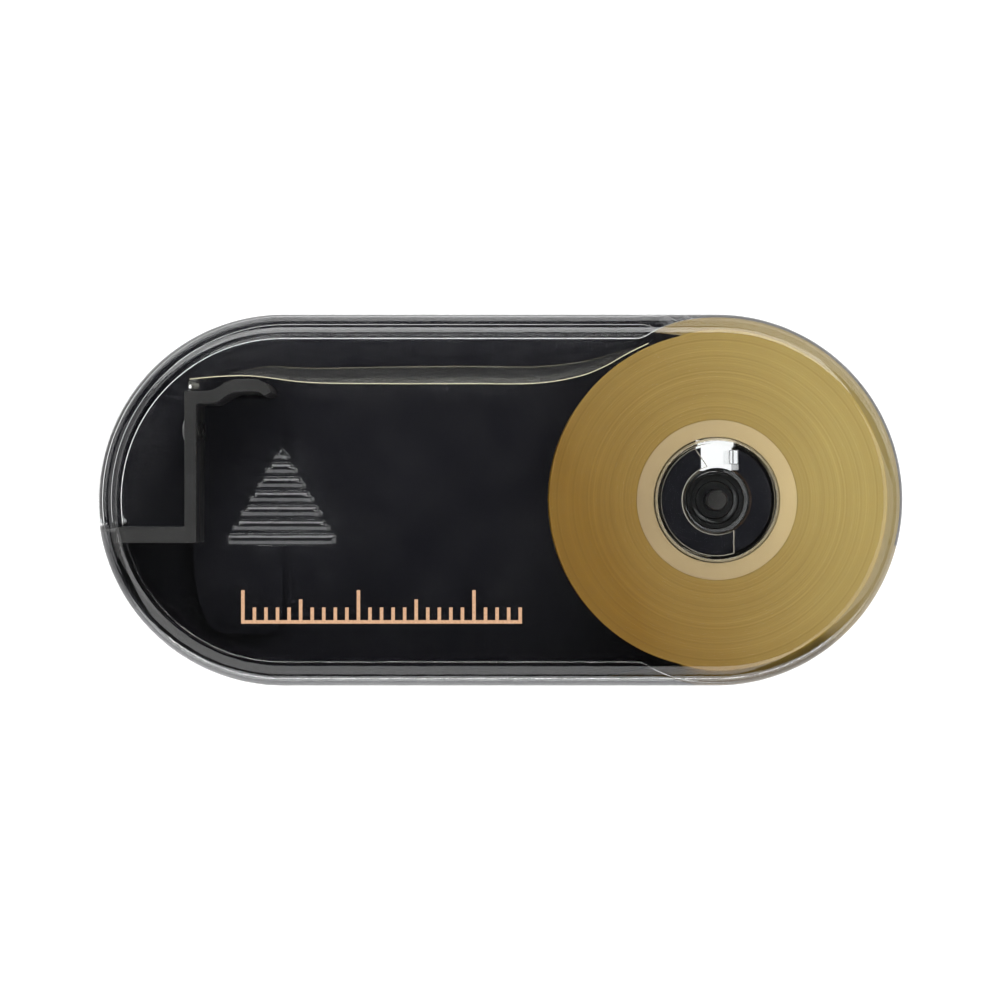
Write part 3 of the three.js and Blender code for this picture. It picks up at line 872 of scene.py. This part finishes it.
def stop_key():
    """Half ring with frosted edges, which turns in the hub's step until it meets the stop pad."""
    outer = COLLAR_BORE_R - 0.08
    low = HUB_LOW_TOP + 0.2
    high = WEB_BOTTOM + 0.2
    ring = [(HUB_BORE_R, low), (outer, low), (outer, high), (HUB_BORE_R, high)]
    key = turned("key", ring, clear, loop=True)
    turn = Matrix.Rotation(math.radians(SWING_DEG), 2)
    lead = STOP_FACE - 0.1
    far = 10.0
    region = [(KEY_END, -far), (KEY_END, -1)]
    region += [turn @ Vector((lead, y)) for y in (1, far)]
    region += [(-far, far), (-far, -far)]
    combine(key, prism("region", [(HUB_X + x, y) for x, y in region], BELOW, ABOVE, clear), "INTERSECT")
    key.data.materials.append(frosted)
    return round_edges(key, 0.14, 1, edge_slot=1)


# ---------- Cover ----------


def cover_section(place, weight):
    """Section of the cover: rounded face edge, side wall where weight is 1, and the corner inside it."""
    edge = FACE_EDGE
    inset = END_R - 3.2
    inner = inner_radius(place, COVER_WALL)
    no_wall = FACE_UNDER - 0.03
    bottom = no_wall - (no_wall - cover_low.z) * weight
    rim = FACE_TOP - edge
    end = math.degrees(math.asin(max(min((bottom + 0.05 - rim) / edge, 1.0), 0.0)))
    low_round = 0.02 + 0.02 * weight
    x, angle = place
    thin = (inner - (END_R - COVER_WALL)) / (COVER_WALL - WALL_AT_ROLL)
    far_end = max(-math.cos(math.radians(angle)), 0.0) if x < 0 else 0.0
    draft = (0.3 + 0.6 * far_end) * weight * (1 - thin)
    fillet = 0.02 + 0.06 * weight * (1 - thin)
    points = [(inset, FACE_TOP)]
    points += arc(END_R - edge, rim, edge, 90, end, 18)
    outer = points[-1][0]
    points += arc(outer - low_round, bottom + low_round * weight, low_round, 0, -90, 3)
    points += arc(inner + draft + low_round, bottom + low_round * weight, low_round, -90, -180, 3)
    points += arc(inner - fillet, FACE_UNDER - fillet, fillet, 0, 90, 4)
    points += [(inset, FACE_UNDER)]
    return points


def thumb_ribs(cover):
    """Seven raised bars in a triangle that points the way the cover is pushed."""
    count = 7
    pitch = 1.235
    top_y = 3.98
    centre = -END_X - 0.1
    height = 1.07
    shortest = 1.5
    longest = 9.5
    growth = 1.42
    for i in range(count):
        length = min(shortest + growth * i, longest)
        y = top_y - pitch * i
        join(cover, rounded_bar(centre, y, length, height, i == count - 1))


def rounded_bar(x, y, length, height, square_ends):
    """A bar with steep sides and a gently crowned top, its ends slanting in towards the upper edge."""
    shoulder = 0.1
    crown_deg = 34
    steps = 8
    slant = 0.0 if square_ends else 0.42
    radius = (height / 2 - shoulder) / math.sin(math.radians(crown_deg))
    crown_drop = radius * (1 - math.cos(math.radians(crown_deg)))
    levels = [(0.0, FACE_TOP - 0.2), (0.02, FACE_TOP + RIB_HEIGHT - crown_drop - 0.06)]
    for i in range(steps + 1):
        angle = math.radians(crown_deg * (1 - i / steps))
        inset = height / 2 - radius * math.sin(angle)
        levels.append((inset, FACE_TOP + RIB_HEIGHT - radius * (1 - math.cos(angle))))
    rings = []
    for inset, z in levels:
        half = max(height / 2 - inset, 0.02)
        low = length / 2 - inset
        high = max(low - slant, 0.1)
        rings.append([(x + px, y + py, z) for px, py in bar_outline(low, high, half)])
    return skin("bar", rings, clear)


def bar_outline(low, high, half):
    """Trapezoid with rounded corners: low and high are half lengths at its lower and upper edges."""
    corner = min(half * 0.7, low * 0.7, high * 0.9)
    points = arc(low - corner, -half + corner, corner, -90, 10, 5)
    points += arc(high - corner, half - corner, corner, 10, 90, 5)
    return points + [(-x, y) for x, y in reversed(points)]


def front_cover():
    """Clear front with its wall over the right end, the top and the notch, down to the seam."""
    start = COVER_WALL_END_DEG
    stop = seam_angle(SEAM_Y + 0.3)
    places = stations(wall_end(END_X, start) + wall_end(-END_X, stop - WALL_END_DEG))

    def wall_weight(place):
        x, angle = place
        if x == END_X:
            return smooth_step(start, start + WALL_END_DEG, angle)
        if x == -END_X:
            return 1 - smooth_step(stop - WALL_END_DEG, stop, angle)
        return 1.0 if angle < 180 else 0.0

    cover = swept("front_cover_shell", places, [cover_section(p, wall_weight(p)) for p in places], clear)
    room_low = (FLANGE_LEFT - 0.3, SEAM_Y - 1, 0)
    room_high = (NOTCH_X, FLANGE_TOP + 0.3, FACE_UNDER - 0.02)
    cut(cover, block("flange_room", room_low, room_high, clear))
    thumb_ribs(cover)
    return flat_shading(clean(cover, 35))


# ---------- Tape ----------


def tape_roll():
    """Wound tape: the turns on its two sides stand very slightly proud of each other."""
    draw = random.Random(SEED)
    inner = CORE_R + 0.005
    step = 0.16
    count = int((ROLL_R - 0.1 - inner) / step)
    proud = 0.03
    edge = 0.05
    bottom, top = [], []
    for i in range(count + 1):
        radius = inner + 0.04 + step * i
        bottom.append((radius, roll_low.z + proud * draw.random()))
        top.append((radius, roll_high.z - proud * draw.random()))
    profile = [(inner, roll_low.z + proud)] + bottom
    profile += [(ROLL_R - edge, roll_low.z), (ROLL_R, roll_low.z + edge)]
    profile += [(ROLL_R, roll_high.z - edge), (ROLL_R - edge, roll_high.z)]
    profile += top[::-1] + [(inner, roll_high.z - proud)]
    return turned("tape_roll_wound", profile, gold, segments=192, loop=True, sharp_deg=60)


def tape_core():
    section = ring_profile(CORE_BORE_R, CORE_R, core_low.z, core_high.z, 0.02)
    return turned("tape_core_ring", section, beige, loop=True)


# Front edge of the free tape, from the blade to the roll.
LEADER_EDGE = [
    (-26.95, 10.45), (-24.6, 10.66), (-22.2, 10.74), (-20.4, 10.6), (-16.5, 10.15), (-10.5, 10.05),
    (-3, 10.05), (3, 10.08), (6.7, 10.65), (9.0, 11.5), (11.0, 12.62), (12.9, 13.56)]


def along_points(points, t):
    """A smooth curve through the points, at t from 0 to 1."""
    last = len(points) - 1
    i = min(int(t * last), last - 1)
    s = t * last - i
    before, a, b, after = (Vector(points[min(max(k, 0), last)]) for k in (i - 1, i, i + 1, i + 2))
    leaving = (b - before) / 2
    arriving = (after - a) / 2
    shares = (2 * s**3 - 3 * s**2 + 1, s**3 - 2 * s**2 + s, 3 * s**2 - 2 * s**3, s**3 - s**2)
    return shares[0] * a + shares[1] * leaving + shares[2] * b + shares[3] * arriving


def tape_leader():
    """Free tape from roll to blade: hangs level at the front edge and lifts towards its rear edge."""
    low, high = box_mm("tape_leader")
    steps = 120
    rows = 16
    lift = 1.8
    thickness = 0.06
    rings = []
    for i in range(steps + 1):
        t = i / steps
        point = along_points(LEADER_EDGE, t)
        rise = lift * max(math.sin(math.pi * t**1.15), 0.0) ** 0.9
        lower, upper = [], []
        for k in range(rows + 1):
            w = k / rows
            y = point.y + rise * (1 - w) + 0.03
            z = low.z + (high.z - low.z) * w
            lower.append((point.x, y, z))
            upper.append((point.x, y + thickness, z))
        rings.append(lower + upper[::-1])
    leader = skin("tape_leader_film", rings, film, sharp_deg=50)
    leader.data.materials.append(film_edge)
    for face in leader.data.polygons:
        if abs(face.normal.z) > 0.9:
            face.material_index = 1
    return leader


# ---------- Assembly ----------


def stand_in(piece, body, slot, *nodes):
    """The piece rides on body and replaces the CAD nodes. slot, the record's material slot, is not used."""
    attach(piece, body)
    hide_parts(*nodes)


stand_in(rear_shell(), "base", "black_plastic", "rear_shell")
stand_in(cutter_frame(), "base", "black_plastic", "cutter_frame")
stand_in(cutter_blade(), "base", "blade_steel", "cutter_blade")
stand_in(blade_rivet("rivet_rear", "blade_rivet_rear"), "base", "dark_steel", "blade_rivet_rear")
stand_in(blade_rivet("rivet_front", "blade_rivet_front"), "base", "dark_steel", "blade_rivet_front")
for screw_node in SHANKS:
    body = "cover" if screw_node == "pivot_screw" else "base"
    stand_in(screw(screw_node), body, "dark_steel", screw_node)
stand_in(spool_hub(), "base", "black_plastic", "spool_hub")
stand_in(stop_pad(), "base", "clear_plastic", "stop_pad")
stand_in(hub_collar(), "cover", "clear_plastic", "hub_collar")
stand_in(front_cover(), "cover", "clear_plastic", "front_cover")
stand_in(tape_core(), "roll", "core_plastic", "tape_core")
stand_in(tape_roll(), "roll", "tape_gold", "tape_roll")
stand_in(tape_leader(), "base", "tape_film", "tape_leader")

for node_name, look in (("measure_scale", copper), ("slip_washer", nylon), ("friction_bush", rubber),
                        ("pivot_washer", steel)):
    frame["nodes"][node_name].material_slots[0].material = look


# ---------- Floor, light and camera ----------


def floor():
    """Pale floor a hair under the part, which glows so that it stays even and white."""
    material, tree, shader = node_tree("pale_floor")
    shader.inputs["Base Color"].default_value = (0.25, 0.25, 0.25, 1)
    shader.inputs["Roughness"].default_value = 0.9
    shader.inputs["Emission Color"].default_value = (1, 1, 1, 1)
    shader.inputs["Emission Strength"].default_value = 1.2
    reach = 1500.0
    height = -0.02
    bm = bmesh.new()
    corners = ((-reach, -reach), (reach, -reach), (reach, reach), (-reach, reach))
    bm.faces.new([bm.verts.new((x, y, height)) for x, y in corners])
    new_object("floor", bm, material)


def lamp(name, place_mm, aim_mm, size_mm, power):
    """White rectangular lamp, its power in watts."""
    data = bpy.data.lights.new(name, "AREA")
    data.shape = "RECTANGLE"
    data.size = size_mm[0] * MM
    data.size_y = size_mm[1] * MM
    data.energy = power
    light = bpy.data.objects.new(name, data)
    light.location = Vector(place_mm) * MM
    light.rotation_euler = (Vector(aim_mm) - Vector(place_mm)).to_track_quat("-Z", "Y").to_euler()
    bpy.context.scene.collection.objects.link(light)


def world(strength):
    scene_world = bpy.data.worlds.new("studio")
    scene_world.use_nodes = True
    background = scene_world.node_tree.nodes["Background"]
    background.inputs["Color"].default_value = (1, 1, 1, 1)
    background.inputs["Strength"].default_value = strength
    bpy.context.scene.world = scene_world


def camera():
    """Looks straight down on the clear front. view_width is its view at the front's underside."""
    distance = 450.0
    view_width = 86.85
    data = bpy.data.cameras.new("camera")
    data.sensor_width = 36.0
    data.lens = data.sensor_width * distance / view_width
    data.clip_start = 0.01
    view = bpy.data.objects.new("camera", data)
    view.location = (0, 0, (FACE_UNDER + distance) * MM)
    bpy.context.scene.collection.objects.link(view)
    bpy.context.scene.camera = view


floor()
world(0.02)
lamp("top_panel", (0, 275, 375), (0, 0, 8), (600, 200), 2.1)
lamp("bottom_panel", (-90, -250, 365), (0, 0, 8), (500, 340), 1.5)
lamp("left_panel", (-290, 20, 345), (-10, 0, 8), (300, 350), 0.4)
lamp("right_panel", (310, -70, 340), (15, 0, 8), (300, 420), 0.7)
lamp("low_strip", (0, -320, 45), (0, 0, 8), (600, 16), 0.6)
camera()

scene = bpy.context.scene
scene.view_settings.view_transform = "Standard"
scene.cycles.max_bounces = 24
scene.cycles.transmission_bounces = 20
scene.cycles.transparent_max_bounces = 24
scene.cycles.glossy_bounces = 8
